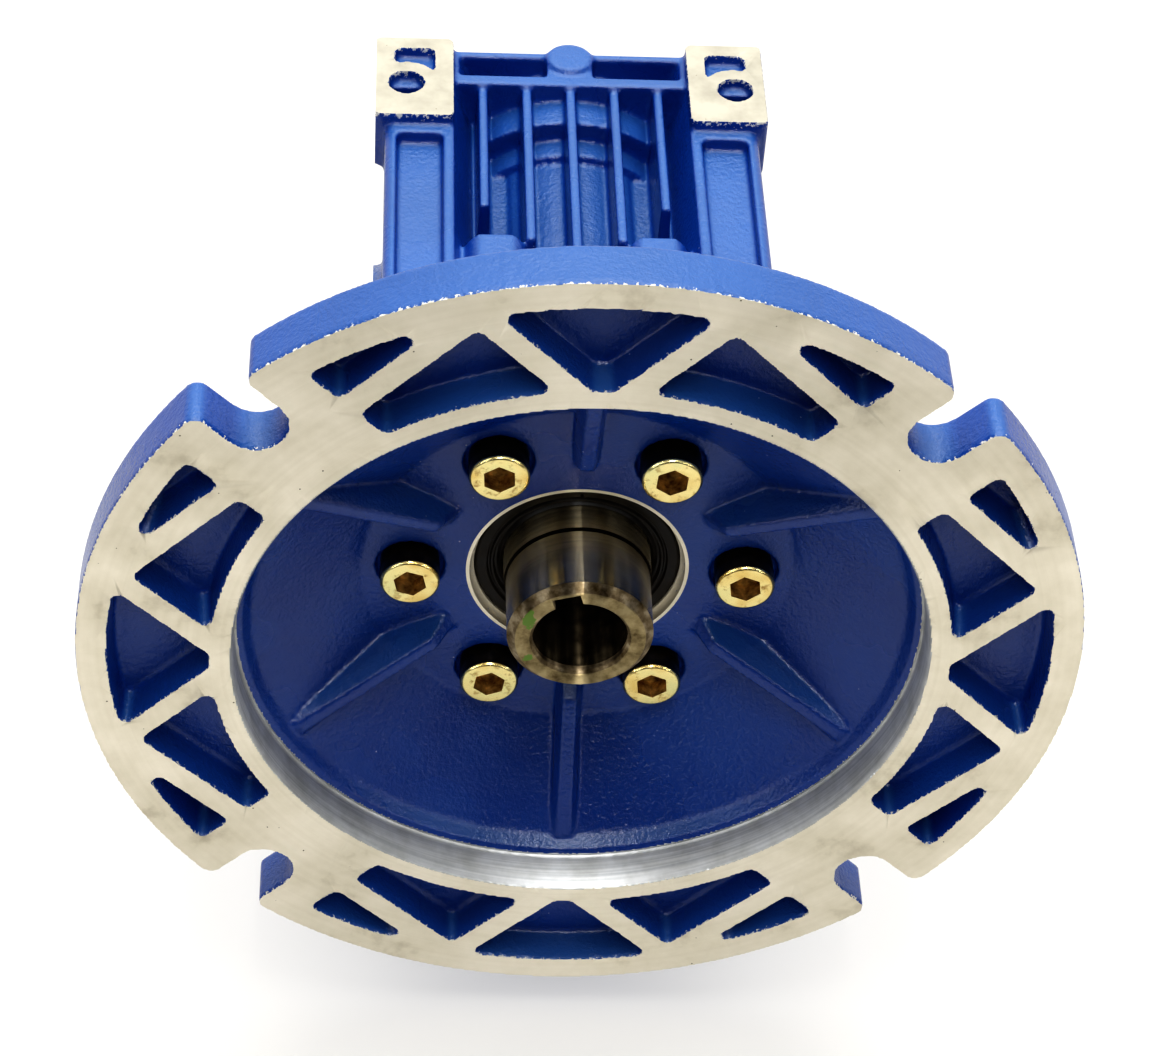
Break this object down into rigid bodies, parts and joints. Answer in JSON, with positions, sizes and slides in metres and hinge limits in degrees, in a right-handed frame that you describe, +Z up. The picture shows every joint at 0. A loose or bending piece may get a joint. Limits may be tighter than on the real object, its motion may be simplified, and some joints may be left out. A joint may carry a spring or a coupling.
{
  "type": "worm gear reducer",
  "caption": "Right-angle worm gear reducer: finned, foot-mounted housing, round motor flange with open slots and a trussed rim, hollow keyed input and a hollow keyed output shaft.",
  "frame": {"origin": "centre of the output bore, on the wheel's axis and in the middle of the worm", "axes": "+X along the output shaft, +Y along the worm away from the motor flange, +Z up through the worm"},
  "size_m": [0.165, 0.133, 0.1726],
  "materials": {
    "blue_paint": "glossy enamel over cast aluminium",
    "shaft_steel": "ground and turned",
    "bearing_steel": "ground",
    "bronze": "hobbed",
    "yellow_zinc": "yellow passivated zinc",
    "spring_steel": "phosphated",
    "black_rubber": "moulded",
    "copper_washer": "annealed"
  },
  "bodies": {
    "gearbox": {"housing": "blue_paint", "motor_flange": "blue_paint", "motor_flange_screws": "yellow_zinc", "side_cover": "blue_paint", "side_cover_screws": "yellow_zinc", "rear_end_cap": "black_rubber", "oil_fill_plug": "yellow_zinc", "oil_plug_washer": "copper_washer", "input_oil_seal": "black_rubber", "output_left_oil_seal": "black_rubber", "output_right_oil_seal": "black_rubber", "motor_flange_o_ring": "black_rubber", "side_cover_o_ring": "black_rubber", "rear_bearing_circlip": "spring_steel", "worm_front_bearing_outer_ring": "bearing_steel", "worm_front_bearing_shields": "black_rubber", "worm_rear_bearing_outer_ring": "bearing_steel", "worm_rear_bearing_shields": "black_rubber", "output_right_bearing_outer_ring": "bearing_steel", "output_right_bearing_shields": "black_rubber", "output_left_bearing_outer_ring": "bearing_steel", "output_left_bearing_shields": "black_rubber"},
    "output": {"hollow_output_shaft": "shaft_steel", "worm_wheel_rim": "bronze", "output_right_bearing_inner_ring": "bearing_steel", "output_left_bearing_inner_ring": "bearing_steel"},
    "worm": {"worm_shaft": "shaft_steel", "worm_shaft_circlip": "spring_steel", "worm_front_bearing_inner_ring": "bearing_steel", "worm_rear_bearing_inner_ring": "bearing_steel"}
  },
  "joints": [
    {"name": "output_spin", "type": "hinge", "parent": "gearbox", "child": "output", "pos_m": [0, 0, 0], "axis": [1, 0, 0], "continuous": true},
    {"name": "worm_spin", "type": "hinge", "parent": "gearbox", "child": "worm", "pos_m": [0, 0, 0.04], "axis": [0, 1, 0], "continuous": true}
  ],
  "couplings": [
    {"joint": "worm_spin", "follows": "output_spin", "ratio": 30}
  ]
}
